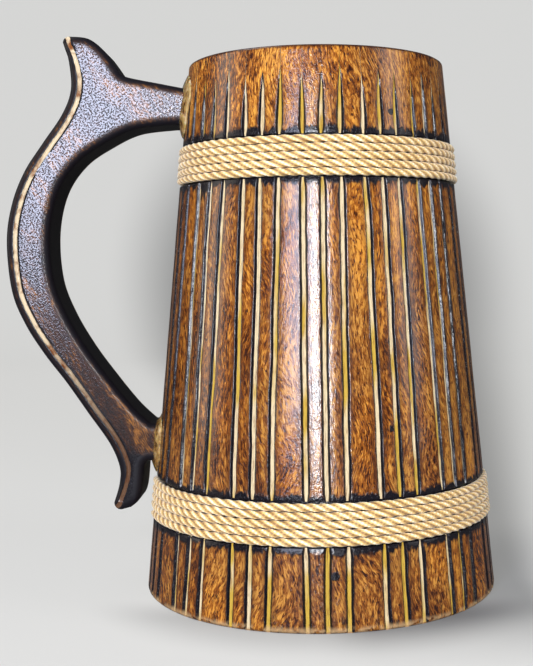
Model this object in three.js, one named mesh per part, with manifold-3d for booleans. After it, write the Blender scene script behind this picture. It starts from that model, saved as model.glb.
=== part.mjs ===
// A wooden beer mug with a handle, in millimetres, +Z up.
//
// The body is fifteen staves glued edge to edge, turned outside to a straight taper and bored
// straight inside. Grooves are carved down the staves in groups of three, with the middle groove of
// each group on the joint between two staves. A disc closes the bottom, a spun steel liner hangs in
// the bore by its lip, and a rope is wound five times round each of two turned seats. The handle is
// sawn from a board, coped to the body, held by two dowels and sealed with a bead of glue.
//
// The origin is the centre of the base. The front of the mug faces -Y and the handle points to -X.
// Angles are in degrees from the front, positive towards +X.

import * as THREE from 'three';
import { mergeVertices } from 'three/addons/utils/BufferGeometryUtils.js';
import { ConvexGeometry } from 'three/addons/geometries/ConvexGeometry.js';
import Module from 'manifold-3d';

const wasm = await Module();
wasm.setup();

// ---------------------------------------------------------------- driving dimensions

// Body
const bodyHeight = 180;
const baseRadius = 60.2;
const topRadius = 44.2;
const baseChamfer = 1.2;
const rimChamfer = 1;

// Staves
const staveCount = 15;
const firstJointAngle = 2;
const staveGlueGap = 0.3;
const facetsPerStave = 4;

// Carved grooves
const grooveWidth = 3;
const grooveDepth = 1.3;
const grooveSpacingAtBase = 6.5;
const grooveSpacingAtRim = 5.9;
const grooveEndBelowRim = 12;
const grooveEndStagger = 4;
const grooveRunout = 8;

// Bottom disc
const discRadius = 46;
const discThickness = 10;
const discGap = 0.3;

// Steel liner
const linerRadius = 36.3;
const linerWall = 0.8;
const linerCornerRadius = 5;
const linerClearance = 0.4;
const lipWidth = 3;
const lipThickness = 1.2;
const lipStandsProud = 0.4;

// Rope bands
const ropeDiameter = 2.5;
const ropeTurns = 5;
const turnGap = 0.1;
const ropeProtrusion = 1.2;
const ropeClearance = 0.4;
const lowerBandHeight = 32.2;
const upperBandBelowRim = 35.1;
const crossoverAngle = -90;
const crossoverSpan = 24;
const ropeStepsPerTurn = 30;
const ropeSides = 8;

// Handle
const handleThickness = 20;
const handleEdgeRadius = 1.5;
const crestTipRadius = 2.2;
const tailTipRadius = 2.4;
const upperFootBelowRim = 15;
const lowerFootHeight = 50;
const upperFootSize = 14;
const lowerFootSize = 12;
const copeGap = 0.4;

// Dowels and glue
const dowelRadius = 4;
const dowelClearance = 0.3;
const dowelChamfer = 0.8;
const barFacets = 24;
const dowelInHandle = 11;
const woodBehindDowel = 2.6;
const glueWidth = 2.4;
const glueThickness = 2.6;
const glueGap = 0.3;

// ---------------------------------------------------------------- sizes that follow from them

const sideways = (topRadius - baseRadius) / bodyHeight;
const bodyRadius = (height) => baseRadius + sideways * height;

const staveAngle = 360 / staveCount;
const roundFacets = staveCount * facetsPerStave;
const boreRadius = linerRadius + linerClearance;
const lipRadius = linerRadius + lipWidth;
const lipSeatDepth = lipThickness - lipStandsProud + linerClearance;

const turnPitch = ropeDiameter + turnGap;
const ropeSeatDepth = ropeDiameter + ropeClearance - ropeProtrusion;
const seatLength = ropeDiameter + (ropeTurns - 1) * turnPitch + 2 * ropeClearance;
const upperBandHeight = bodyHeight - upperBandBelowRim;
const upperFootHeight = bodyHeight - upperFootBelowRim;

// ---------------------------------------------------------------- helpers

const around = (radius, angle, height) => {
  const radians = THREE.MathUtils.degToRad(angle);
  return new THREE.Vector3(radius * Math.sin(radians), -radius * Math.cos(radians), height);
};

// A closed three.js geometry as a solid for joining and cutting.
function solid(geometry) {
  const bare = geometry.clone();
  bare.deleteAttribute('normal');
  bare.deleteAttribute('uv');
  const merged = mergeVertices(bare, 1e-4);
  const corners = [];
  for (let i = 0; i < merged.index.count; i += 3) {
    const [a, b, c] = [0, 1, 2].map((k) => merged.index.getX(i + k));
    if (a !== b && b !== c && c !== a) corners.push(a, b, c);
  }
  return new wasm.Manifold(new wasm.Mesh({
    numProp: 3,
    vertProperties: new Float32Array(merged.attributes.position.array),
    triVerts: new Uint32Array(corners),
  }));
}

// A solid as a named mesh with its own finish.
function piece(name, body, finish) {
  const { vertProperties, triVerts } = body.getMesh();
  const geometry = new THREE.BufferGeometry();
  geometry.setAttribute('position', new THREE.BufferAttribute(new Float32Array(vertProperties), 3));
  geometry.setIndex(new THREE.BufferAttribute(new Uint32Array(triVerts), 1));
  geometry.computeVertexNormals();
  const mesh = new THREE.Mesh(geometry, new THREE.MeshStandardMaterial(finish));
  mesh.name = name;
  return mesh;
}

// A turned solid: the profile is [radius, height] pairs, anticlockwise, closed by the first pair
// or by the axis. A facet edge lies on every stave joint.
function turned(profile) {
  const points = profile.map(([radius, height]) => new THREE.Vector2(radius, height));
  const start = THREE.MathUtils.degToRad(firstJointAngle);
  const lathe = new THREE.LatheGeometry(points, roundFacets, start, 2 * Math.PI);
  return solid(lathe.rotateX(Math.PI / 2));
}

// A flat outline in x and z, given a thickness about the plane y = 0.
function board(outline, thickness, edgeRadius, growth = 0) {
  const geometry = new THREE.ExtrudeGeometry(outline, {
    depth: thickness + 2 * growth - 2 * edgeRadius,
    bevelEnabled: true,
    bevelThickness: edgeRadius,
    bevelSize: edgeRadius,
    bevelOffset: growth - edgeRadius,
    bevelSegments: 2,
    curveSegments: 3,
  });
  geometry.rotateX(Math.PI / 2);
  return solid(geometry.translate(0, thickness / 2 + growth - edgeRadius, 0));
}

// The taper of the body, grown outwards by `growth`, as a solid cone frustum.
function bodyCone(growth, overrun = 20) {
  const [low, high] = [-overrun, bodyHeight + overrun];
  return turned([[0, low], [bodyRadius(low) + growth, low], [bodyRadius(high) + growth, high], [0, high]]);
}

// A round bar along x, with its two ends chamfered.
function bar(radius, fromX, toX, height, chamfer) {
  const length = toX - fromX;
  const profile = [
    new THREE.Vector2(0, 0),
    new THREE.Vector2(radius - chamfer, 0),
    new THREE.Vector2(radius, chamfer),
    new THREE.Vector2(radius, length - chamfer),
    new THREE.Vector2(radius - chamfer, length),
    new THREE.Vector2(0, length),
  ];
  const lathe = new THREE.LatheGeometry(profile, barFacets);
  return solid(lathe.rotateZ(-Math.PI / 2).translate(fromX, 0, height));
}

// ---------------------------------------------------------------- staves

// The glued-up ring of staves as it leaves the lathe, before carving.
function turnedBlank() {
  const seat = (middle) => {
    const [low, high] = [middle - seatLength / 2, middle + seatLength / 2];
    return [
      [bodyRadius(low), low],
      [bodyRadius(low) - ropeSeatDepth, low],
      [bodyRadius(high) - ropeSeatDepth, high],
      [bodyRadius(high), high],
    ];
  };
  const lipSeatRadius = lipRadius + linerClearance;
  const profile = [
    [discRadius, 0],
    [baseRadius - baseChamfer, 0],
    [bodyRadius(baseChamfer), baseChamfer],
    ...seat(lowerBandHeight),
    ...seat(upperBandHeight),
    [bodyRadius(bodyHeight - rimChamfer), bodyHeight - rimChamfer],
    [topRadius - rimChamfer, bodyHeight],
    [lipSeatRadius, bodyHeight],
    [lipSeatRadius, bodyHeight - lipSeatDepth],
    [boreRadius, bodyHeight - lipSeatDepth],
    [boreRadius, discThickness],
    [discRadius, discThickness],
    [discRadius, 0],
  ];
  return turned(profile);
}

// The wood that one groove takes away: a V that runs out through the base and rises to the surface
// over its last few millimetres.
function grooveChips(jointAngle, side, index) {
  const spacingAngle = (spacing, radius) => THREE.MathUtils.radToDeg(spacing / radius);
  const angleAt = (height) => {
    const share = height / bodyHeight;
    const atBase = spacingAngle(grooveSpacingAtBase, baseRadius);
    const atRim = spacingAngle(grooveSpacingAtRim, topRadius);
    return jointAngle + side * THREE.MathUtils.lerp(atBase, atRim, share);
  };
  const stagger = grooveEndStagger * Math.sin(index * 2.4) / 2;
  const endHeight = bodyHeight - grooveEndBelowRim + stagger;
  const overshoot = 2;
  const halfWidthOutside = grooveWidth / 2 * (grooveDepth + overshoot) / grooveDepth;
  const section = (height) => {
    const radius = bodyRadius(height);
    const angle = angleAt(height);
    const middle = around(radius, angle, height);
    const outward = around(1, angle, 0);
    const along = around(1, angle + 90, 0);
    return [
      middle.clone().addScaledVector(outward, -grooveDepth),
      middle.clone().addScaledVector(outward, overshoot).addScaledVector(along, halfWidthOutside),
      middle.clone().addScaledVector(outward, overshoot).addScaledVector(along, -halfWidthOutside),
    ];
  };
  const tip = around(bodyRadius(endHeight) + overshoot / 2, angleAt(endHeight), endHeight);
  const points = [...section(-1), ...section(endHeight - grooveRunout), tip];
  return solid(new ConvexGeometry(points));
}

// One stave's share of the ring: a wedge that stops half a glue gap short of each joint plane.
function staveWedge(index) {
  const half = staveAngle / 2;
  const middleAngle = firstJointAngle + staveAngle * index + half;
  const reach = 2 * baseRadius;
  const apex = around(staveGlueGap / 2 / Math.sin(THREE.MathUtils.degToRad(half)), middleAngle, 0);
  const corners = [
    apex,
    apex.clone().add(around(reach, middleAngle - half, 0)),
    apex.clone().add(around(reach, middleAngle + half, 0)),
  ];
  const outline = new THREE.Shape(corners.map(({ x, y }) => new THREE.Vector2(x, y)));
  const wedge = new THREE.ExtrudeGeometry(outline, { depth: bodyHeight + 2, bevelEnabled: false });
  return solid(wedge.translate(0, 0, -1));
}

function staves(dowelHoles) {
  let ring = turnedBlank();
  for (let joint = 0; joint < staveCount; joint += 1) {
    for (const side of [-1, 0, 1]) {
      const jointAngle = firstJointAngle + staveAngle * joint;
      ring = ring.subtract(grooveChips(jointAngle, side, joint * 3 + side));
    }
  }
  for (const hole of dowelHoles) ring = ring.subtract(hole);
  const tones = [0x96561f, 0x8a4b1b, 0xa1602a];
  return Array.from({ length: staveCount }, (_, index) => piece(
    `stave_${String(index + 1).padStart(2, '0')}`,
    ring.intersect(staveWedge(index)),
    { color: tones[index % tones.length], roughness: 0.25, metalness: 0 },
  ));
}

// ---------------------------------------------------------------- bottom and liner

function bottomDisc() {
  const radius = discRadius - discGap;
  const thickness = discThickness - discGap;
  const disc = turned([[0, 0], [radius, 0], [radius, thickness], [0, thickness]]);
  return piece('bottom_disc', disc, { color: 0x8a5a2c, roughness: 0.5, metalness: 0 });
}

function steelLiner() {
  const floor = discThickness + linerClearance;
  const lipTop = bodyHeight + lipStandsProud;
  const corner = (radius, cornerRadius, height, steps = 4) => Array.from({ length: steps + 1 }, (_, i) => {
    const turn = i / steps * Math.PI / 2;
    const across = radius - cornerRadius + cornerRadius * Math.sin(turn);
    return [across, height + cornerRadius * (1 - Math.cos(turn))];
  });
  const inside = corner(linerRadius - linerWall, linerCornerRadius - linerWall, floor + linerWall);
  const profile = [
    [0, floor],
    ...corner(linerRadius, linerCornerRadius, floor),
    [linerRadius, lipTop - lipThickness],
    [lipRadius, lipTop - lipThickness],
    [lipRadius, lipTop - lipThickness / 2],
    [lipRadius - lipThickness / 2, lipTop],
    [linerRadius - linerWall, lipTop],
    ...inside.reverse(),
    [0, floor + linerWall],
  ];
  return piece('steel_liner', turned(profile), { color: 0xc9ccce, roughness: 0.25, metalness: 1 });
}

// ---------------------------------------------------------------- rope

// The route of one rope: level turns side by side, each climbing to the next over a short
// crossover under the handle.
class WoundRope extends THREE.Curve {
  constructor(middleHeight) {
    super();
    this.firstTurnHeight = middleHeight - turnPitch * (ropeTurns - 1) / 2;
    this.arcLengthDivisions = 4 * ropeTurns * ropeStepsPerTurn;
  }

  getPoint(share, target = new THREE.Vector3()) {
    const swept = share * (360 * ropeTurns - crossoverSpan);
    const turn = Math.floor(swept / 360);
    const intoCrossover = swept - 360 * turn - (360 - crossoverSpan);
    const climb = THREE.MathUtils.smoothstep(intoCrossover, 0, crossoverSpan);
    const height = this.firstTurnHeight + turnPitch * (turn + climb);
    const radius = bodyRadius(height) + ropeProtrusion - ropeDiameter / 2;
    return target.copy(around(radius, crossoverAngle + crossoverSpan / 2 + swept, height));
  }
}

function ropeBand(name, middleHeight) {
  const corner = (i) => {
    const turn = 2 * Math.PI * (i + 0.5) / ropeSides;
    return new THREE.Vector2(Math.cos(turn), Math.sin(turn)).multiplyScalar(ropeDiameter / 2);
  };
  const section = new THREE.Shape(Array.from({ length: ropeSides }, (_, i) => corner(i)));
  const rope = new THREE.ExtrudeGeometry(section, {
    steps: ropeTurns * ropeStepsPerTurn,
    extrudePath: new WoundRope(middleHeight),
  });
  return piece(name, solid(rope), { color: 0xdcb871, roughness: 0.85, metalness: 0 });
}

// ---------------------------------------------------------------- handle

// A point of the handle's outline: its reach out from the side of the body, and its rise above the
// middle of the upper or of the lower foot.
const outlinePoint = (reach, height) => new THREE.Vector2(-bodyRadius(height) - reach, height);
const upper = (reach, rise) => outlinePoint(reach, upperFootHeight + rise);
const lower = (reach, rise) => outlinePoint(reach, lowerFootHeight + rise);

function handleOutline() {
  const inside = -6;
  const underArm = -upperFootSize / 2 + 1.5;
  const outline = new THREE.Shape();
  const moveTo = (point) => outline.moveTo(point.x, point.y);
  const lineTo = (point) => outline.lineTo(point.x, point.y);
  const tip = (centre, radius, from, to) => outline.absarc(centre.x, centre.y, radius, from, to, true);

  // under the arm and down the inside of the grip
  moveTo(upper(inside, underArm));
  lineTo(upper(4, underArm));
  outline.splineThru([
    upper(16.5, -7), upper(26, -11.5), upper(35, -18), upper(41, -28), upper(42.8, -42),
    lower(40.4, 57), lower(35, 45), lower(27, 33), lower(18, 22), lower(9.5, 12.5), lower(3, 6.8),
  ]);

  // the lower foot and the near side of the tail
  lineTo(lower(inside, lowerFootSize / 2));
  lineTo(lower(inside, -lowerFootSize / 2));
  lineTo(lower(2.8, -lowerFootSize / 2));
  outline.splineThru([lower(4.0, -7.4), lower(4.1, -12), lower(4.2, -16), lower(5.0, -19.6), lower(7.6, -22)]);
  tip(lower(11.1, -20.4), tailTipRadius, -Math.PI * 0.45, -Math.PI);

  // up the outside of the grip to the crest
  outline.splineThru([
    lower(12.2, -14), lower(12.6, -8), lower(16.6, 0), lower(24.8, 10.5), lower(33, 21),
    lower(41.5, 31), lower(49, 41.5), lower(54.5, 53), upper(57.6, -45), upper(56.8, -32),
    upper(53.4, -21), upper(48, -11.5), upper(42, -1.5), upper(39.6, 7), upper(41, 16.5),
  ]);
  tip(upper(41.4, 23.2), crestTipRadius, Math.PI, Math.PI / 2);

  // down the crest and along the top of the arm
  outline.splineThru([upper(35, 24.6), upper(29.2, 20.4), upper(24, 14)]);
  outline.splineThru([upper(21.2, 11.4), upper(9, 8.8), upper(0, upperFootSize / 2)]);
  lineTo(upper(inside, upperFootSize / 2));
  return outline;
}

// Where a dowel lies: from inside the body's wall to inside the handle.
function dowelSpan(height) {
  return { from: -(bodyRadius(height) + dowelInHandle), to: -(boreRadius + woodBehindDowel), height };
}

function dowelHole({ from, to, height }) {
  const radius = dowelRadius + dowelClearance;
  return bar(radius, from - dowelClearance, to + dowelClearance, height, dowelChamfer);
}

function dowel(name, { from, to, height }) {
  const wood = bar(dowelRadius, from, to, height, dowelChamfer);
  return piece(name, wood, { color: 0xd2b07a, roughness: 0.6, metalness: 0 });
}

function handle(outline, dowelHoles) {
  let wood = board(outline, handleThickness, handleEdgeRadius).subtract(bodyCone(copeGap));
  for (const hole of dowelHoles) wood = wood.subtract(hole);
  return piece('handle', wood, { color: 0x3a1d10, roughness: 0.2, metalness: 0 });
}

// A collar of glue on the body round one foot of the handle.
function glueBead(name, outline, height, footSize) {
  const [width, rise] = [handleThickness / 2 + glueWidth, footSize / 2 + glueWidth];
  const cornerCut = glueWidth;
  const face = new THREE.Shape([
    new THREE.Vector2(-width, cornerCut - rise),
    new THREE.Vector2(cornerCut - width, -rise),
    new THREE.Vector2(width - cornerCut, -rise),
    new THREE.Vector2(width, cornerCut - rise),
    new THREE.Vector2(width, rise - cornerCut),
    new THREE.Vector2(width - cornerCut, rise),
    new THREE.Vector2(cornerCut - width, rise),
    new THREE.Vector2(-width, rise - cornerCut),
  ]);
  const block = new THREE.ExtrudeGeometry(face, { depth: 2 * baseRadius, bevelEnabled: false });
  block.rotateX(Math.PI / 2).rotateZ(-Math.PI / 2).translate(0, 0, height);
  const bead = solid(block)
    .intersect(bodyCone(glueGap + glueThickness))
    .subtract(bodyCone(glueGap))
    .subtract(board(outline, handleThickness, handleEdgeRadius, glueGap));
  return piece(name, bead, { color: 0xc78a35, roughness: 0.15, metalness: 0 });
}

// ---------------------------------------------------------------- assembly

const upperDowel = dowelSpan(upperFootHeight);
const lowerDowel = dowelSpan(lowerFootHeight);
const dowelHoles = [upperDowel, lowerDowel].map(dowelHole);
const outline = handleOutline();

const mug = new THREE.Group();
mug.add(...staves(dowelHoles));
mug.add(bottomDisc(), steelLiner());
mug.add(ropeBand('upper_rope_band', upperBandHeight));
mug.add(ropeBand('lower_rope_band', lowerBandHeight));
mug.add(handle(outline, dowelHoles));
mug.add(dowel('upper_dowel', upperDowel), dowel('lower_dowel', lowerDowel));
mug.add(glueBead('upper_glue_fillet', outline, upperFootHeight, upperFootSize));
mug.add(glueBead('lower_glue_fillet', outline, lowerFootHeight, lowerFootSize));

export default mug;
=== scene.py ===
"""The finish of a wooden beer mug: carved staves, laid rope, a sawn handle, glue and steel.

Sizes and colours are in the scene's mug properties. One operator makes each kind of piece, and one
makes the stage. Lengths are worked out in millimetres and stored in metres. Angles are in degrees
from the front of the mug, which faces -Y, and are positive towards +X. The handle points to -X.
"""

import math
import random

import bmesh
import bpy
import numpy as np
from bpy.props import FloatProperty, FloatVectorProperty, IntProperty, PointerProperty
from mathutils import Matrix, Vector, geometry, noise


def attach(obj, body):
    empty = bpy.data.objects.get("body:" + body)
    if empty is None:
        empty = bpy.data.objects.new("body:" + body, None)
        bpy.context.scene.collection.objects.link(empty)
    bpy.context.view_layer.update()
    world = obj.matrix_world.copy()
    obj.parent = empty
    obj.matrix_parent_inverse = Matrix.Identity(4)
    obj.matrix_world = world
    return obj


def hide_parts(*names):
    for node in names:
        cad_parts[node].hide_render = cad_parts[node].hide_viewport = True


bl_info = {
    "name": "Wooden Mug Finish",
    "version": (1, 0, 0),
    "blender": (4, 5, 0),
    "location": "3D View > Sidebar > Mug",
    "description": "Makes the carved staves, ropes, handle, glue, liner and stage of a wooden mug",
    "category": "Object",
}

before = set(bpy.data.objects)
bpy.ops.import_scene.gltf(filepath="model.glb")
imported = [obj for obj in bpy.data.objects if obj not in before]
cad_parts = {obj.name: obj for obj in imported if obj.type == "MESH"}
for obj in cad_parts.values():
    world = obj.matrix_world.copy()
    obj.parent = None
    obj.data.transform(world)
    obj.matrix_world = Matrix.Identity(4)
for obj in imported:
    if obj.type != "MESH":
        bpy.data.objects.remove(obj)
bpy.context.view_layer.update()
BODY = "root"
MM = 0.001
HANDLE_ANGLE = -90.0


# ---------------------------------------------------------------- properties


def length(name, description, millimetres):
    return FloatProperty(
        name=name, description=description, default=millimetres * MM, min=0.0, unit="LENGTH", precision=5
    )


def colour(name, description, value):
    return FloatVectorProperty(
        name=name, description=description, default=value, min=0.0, max=1.0, size=3, subtype="COLOR"
    )


class MugBodySizes(bpy.types.PropertyGroup):
    """Sizes of the turned and carved body."""

    height: length("Height", "Height of the wooden body", 180.0)
    base_radius: length("Base radius", "Outer radius of the body at its base", 60.2)
    top_radius: length("Rim radius", "Outer radius of the body at its rim", 44.2)
    base_chamfer: length("Base chamfer", "Chamfer round the base", 1.2)
    rim_chamfer: length("Rim rounding", "Rounding round the rim", 1.0)
    staves: IntProperty(name="Staves", description="Number of staves in the body", default=15, min=3)
    first_joint: FloatProperty(
        name="First joint", description="Angle of the first joint between two staves",
        default=math.radians(2.0), subtype="ANGLE",
    )
    glue_line: length("Glue line", "Gap between two staves", 0.04)
    groove_breadth: length("Groove breadth", "Breadth of a carved groove with its burnt edges", 2.4)
    groove_depth: length("Groove depth", "Depth of a carved groove", 1.0)
    spacing_at_base: length("Spacing at base", "Distance from groove to groove at the base", 6.5)
    spacing_at_rim: length("Spacing at rim", "Distance from groove to groove at the rim", 5.9)
    groove_end: length("Groove end", "Distance from the rim to the end of a groove", 12.0)
    groove_feather: length("Groove feather", "How far a groove feathers out past its carved end", 4.2)
    groove_stagger: length("Groove stagger", "Spread of the heights at which grooves end", 4.0)
    bore_radius: length("Bore radius", "Radius of the straight bore", 36.7)
    lip_seat_radius: length("Lip seat radius", "Radius of the seat for the liner's lip", 39.7)
    lip_seat_depth: length("Lip seat depth", "Depth of the seat for the liner's lip", 1.2)
    disc_radius: length("Disc radius", "Radius of the rebate for the bottom disc", 46.0)
    disc_thickness: length("Disc thickness", "Height of the rebate for the bottom disc", 10.0)


class MugRopeSizes(bpy.types.PropertyGroup):
    """Sizes of the two rope bands."""

    diameter: length("Diameter", "Diameter of the rope", 2.5)
    pitch: length("Pitch", "Distance from one turn to the next", 2.6)
    turns: IntProperty(name="Turns", description="Turns of rope in a band", default=5, min=1)
    lay: length("Lay", "Length of rope in which a strand goes once round", 11.7)
    protrusion: length("Protrusion", "How far the rope stands out from the body", 1.2)
    clearance: length("Clearance", "Gap between the rope and its turned seat", 0.4)
    lower_height: length("Lower band", "Height of the middle of the lower band", 32.2)
    upper_height: length("Upper band", "Height of the middle of the upper band", 144.9)
    crossover: FloatProperty(
        name="Crossover", description="Angle at which each turn climbs to the next",
        default=math.radians(-90.0), subtype="ANGLE",
    )
    crossover_span: FloatProperty(
        name="Crossover span", description="Angle over which a turn climbs",
        default=math.radians(24.0), subtype="ANGLE",
    )


class MugHandleSizes(bpy.types.PropertyGroup):
    """Sizes of the handle and of the holes for its dowels."""

    thickness: length("Thickness", "Thickness of the handle's board", 20.0)
    edge_round: length("Edge rounding", "Rounding of the long edges", 2.3)
    upper_foot: length("Upper foot", "Height of the middle of the upper foot", 165.0)
    lower_foot: length("Lower foot", "Height of the middle of the lower foot", 50.0)
    cope_gap: length("Cope gap", "Gap between the handle and the body", 0.4)
    bead_inset: length("Carved line inset", "Distance from the outer edge to the carved line", 3.4)
    bead_breadth: length("Carved line breadth", "Breadth of the carved line", 1.5)
    bead_depth: length("Carved line depth", "Depth of the carved line", 0.6)
    dowel_hole: length("Dowel hole radius", "Radius of the holes for the dowels", 4.3)


class MugColours(bpy.types.PropertyGroup):
    """Colours of the woods, rope, glue and steel."""

    stave_pale: colour("Stave pale", "Palest wood of the staves", (0.43, 0.195, 0.036))
    stave_middle: colour("Stave middle", "Usual wood of the staves", (0.17, 0.052, 0.009))
    stave_dark: colour("Stave dark", "Darkest wood of the staves", (0.022, 0.006, 0.004))
    groove_cream: colour("Groove cream", "Fresh wood in the grooves", (0.58, 0.46, 0.27))
    groove_mustard: colour("Groove mustard", "Varnished wood in the grooves", (0.44, 0.28, 0.04))
    char: colour("Char", "Burnt wood", (0.006, 0.005, 0.007))
    toast: colour("Toast", "Wood browned by the torch", (0.070, 0.022, 0.007))
    handle_pale: colour("Handle pale", "Palest wood of the handle", (0.25, 0.095, 0.014))
    handle_middle: colour("Handle middle", "Usual wood of the handle", (0.028, 0.009, 0.004))
    handle_dark: colour("Handle dark", "Darkest wood of the handle", (0.008, 0.005, 0.005))
    carved_line: colour("Carved line", "Fresh wood in the handle's carved line", (0.56, 0.45, 0.29))
    # Rope pale also serves as a painted highlight on the strand crowns, and rope brown as painted shade
    # between the strands.
    rope_pale: colour("Rope pale", "Bleached fibres", (0.95, 0.85, 0.64))
    rope_gold: colour("Rope gold", "Usual fibres", (0.66, 0.43, 0.14))
    rope_brown: colour("Rope brown", "Fibres down between the strands", (0.26, 0.13, 0.04))
    glue_amber: colour("Glue amber", "Hardened glue", (0.30, 0.165, 0.048))
    steel: colour("Steel", "Polished steel", (0.62, 0.63, 0.64))
    bare_wood: colour("Bare wood", "Unvarnished beech", (0.60, 0.40, 0.20))
    floor: colour("Floor", "Paper sweep of the stage", (0.20, 0.20, 0.198))


class Millimetres:
    """The values of a property group, with lengths in millimetres and angles in degrees."""

    def __init__(self, group):
        for name, declared in group.bl_rna.properties.items():
            if name in ("name", "rna_type"):
                continue
            value = getattr(group, name)
            if declared.type == "FLOAT" and declared.unit == "LENGTH":
                value *= 1000.0
            elif declared.type == "FLOAT" and declared.subtype == "ANGLE":
                value = math.degrees(value)
            setattr(self, name, value)


def body_sizes():
    return Millimetres(bpy.context.scene.mug_body)


def rope_sizes():
    """The sizes of the ropes, with the heights of both bands and half the height of their seats."""
    rope = Millimetres(bpy.context.scene.mug_rope)
    rope.bands = (rope.lower_height, rope.upper_height)
    rope.half_seat = rope.pitch * (rope.turns - 1) / 2 + rope.diameter / 2 + rope.clearance
    return rope


def handle_sizes():
    return Millimetres(bpy.context.scene.mug_handle)


# ---------------------------------------------------------------- shared shapes


class Wander:
    """A smooth seeded wander along a length, between about -1 and 1."""

    def __init__(self, seed, wavelength, octaves=3):
        draw = random.Random(seed)
        self.waves = [
            (math.tau * 2**k / (wavelength * draw.uniform(0.7, 1.5)), draw.uniform(0, math.tau), 0.55**k)
            for k in range(octaves)
            for _ in range(2)
        ]
        self.total = sum(weight for _, _, weight in self.waves) * 0.6

    def __call__(self, along):
        return sum(w * np.sin(f * along + p) for f, p, w in self.waves) / self.total


def smoothstep(low, high, value):
    share = np.clip((value - low) / (high - low), 0.0, 1.0)
    return share * share * (3.0 - 2.0 * share)


def body_radius(body, height):
    return body.base_radius + (body.top_radius - body.base_radius) * height / body.height


def around(radius, angle, height):
    """Points at a radius, an angle from the front and a height."""
    turn = np.radians(angle)
    return np.stack(np.broadcast_arrays(radius * np.sin(turn), -radius * np.cos(turn), height), axis=-1)


def lumps(points, size, seed):
    """Smooth seeded noise, between about -1 and 1, at each point."""
    shift = Vector((seed * 17.3, seed * 5.1, seed * 9.7))
    return np.array([noise.noise(Vector(p) / size + shift) for p in points])


def grid_faces(rows, columns, wrap_rows=False, wrap_columns=False):
    """Quads over a grid of points that is stored row by row."""
    row = np.arange(rows if wrap_rows else rows - 1)
    column = np.arange(columns if wrap_columns else columns - 1)
    r, c = (grid.ravel() for grid in np.meshgrid(row, column, indexing="ij"))
    below, beside = (r + 1) % rows, (c + 1) % columns
    corners = [r * columns + c, r * columns + beside, below * columns + beside, below * columns + c]
    quads = np.stack(corners, 1)
    return [tuple(quad) for quad in quads.tolist()]


def new_mesh(name, points, faces, sharp=40.0):
    """A smooth-shaded mesh from points in millimetres, with its faces turned outwards."""
    mesh = bpy.data.meshes.new(name)
    mesh.from_pydata((np.asarray(points) * MM).tolist(), [], faces)
    work = bmesh.new()
    work.from_mesh(mesh)
    bmesh.ops.recalc_face_normals(work, faces=work.faces)
    work.to_mesh(mesh)
    work.free()
    finish_shading(mesh, sharp)
    return mesh


def finish_shading(mesh, sharp):
    mesh.shade_smooth()
    mesh.set_sharp_from_angle(angle=math.radians(sharp))


def store(mesh, name, values):
    """Keeps a number or a vector at each point of a mesh for its material."""
    values = np.asarray(values, np.float32)
    kind, field = ("FLOAT", "value") if values.ndim == 1 else ("FLOAT_VECTOR", "vector")
    attribute = mesh.attributes.get(name) or mesh.attributes.new(name, kind, "POINT")
    attribute.data.foreach_set(field, values.ravel())


def points_of(mesh):
    """The points of a mesh, in millimetres."""
    found = np.empty(len(mesh.vertices) * 3)
    mesh.vertices.foreach_get("co", found)
    return found.reshape(-1, 3) / MM


def new_piece(name, mesh, material, node):
    """A finished piece that stands for a CAD node and moves with the body."""
    piece = bpy.data.objects.new(name, mesh)
    bpy.context.scene.collection.objects.link(piece)
    mesh.materials.append(material)
    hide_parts(node)
    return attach(piece, BODY)


def cut_away(piece, cutters):
    """Cuts closed meshes out of a piece and leaves no modifier behind."""
    for mesh in cutters:
        cutter = bpy.data.objects.new("cutter", mesh)
        bpy.context.scene.collection.objects.link(cutter)
        modifier = piece.modifiers.new("cut", "BOOLEAN")
        modifier.operation = "DIFFERENCE"
        modifier.solver = "EXACT"
        modifier.object = cutter
        bpy.context.view_layer.update()
        evaluated = piece.evaluated_get(bpy.context.evaluated_depsgraph_get())
        shaped = bpy.data.meshes.new_from_object(evaluated)
        piece.modifiers.clear()
        piece.data = shaped
        bpy.data.objects.remove(cutter)


def lathe(name, profile, segments, sharp=40.0):
    """A closed turned mesh. The profile is [radius, height] pairs; zero radii close it on the axis."""
    angles = np.arange(segments) * 360.0 / segments
    points, rings = [], []
    for radius, height in profile:
        if radius < 1e-6:
            rings.append([len(points)])
            points.append((0.0, 0.0, height))
        else:
            rings.append(list(range(len(points), len(points) + segments)))
            points.extend(around(radius, angles, height))
    faces = []
    closed = profile[0][0] > 1e-6
    pairs = list(zip(rings, rings[1:])) + ([(rings[-1], rings[0])] if closed else [])
    for first, second in pairs:
        for k in range(segments):
            after = (k + 1) % segments
            if len(first) == 1:
                faces.append((first[0], second[k], second[after]))
            elif len(second) == 1:
                faces.append((first[k], first[after], second[0]))
            else:
                faces.append((first[k], first[after], second[after], second[k]))
    return new_mesh(name, points, faces, sharp)


def bar_mesh(radius, start, end, height, segments=32):
    """A closed round bar along x."""
    turn = np.arange(segments) * math.tau / segments
    ring = np.stack([np.zeros(segments), radius * np.cos(turn), radius * np.sin(turn)], 1)
    points = np.concatenate([ring + (start, 0, height), ring + (end, 0, height)])
    faces = grid_faces(2, segments, wrap_columns=True)
    faces += [tuple(range(segments)), tuple(range(segments, 2 * segments))]
    return new_mesh("bar", points, faces)


# ---------------------------------------------------------------- nodes


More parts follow.
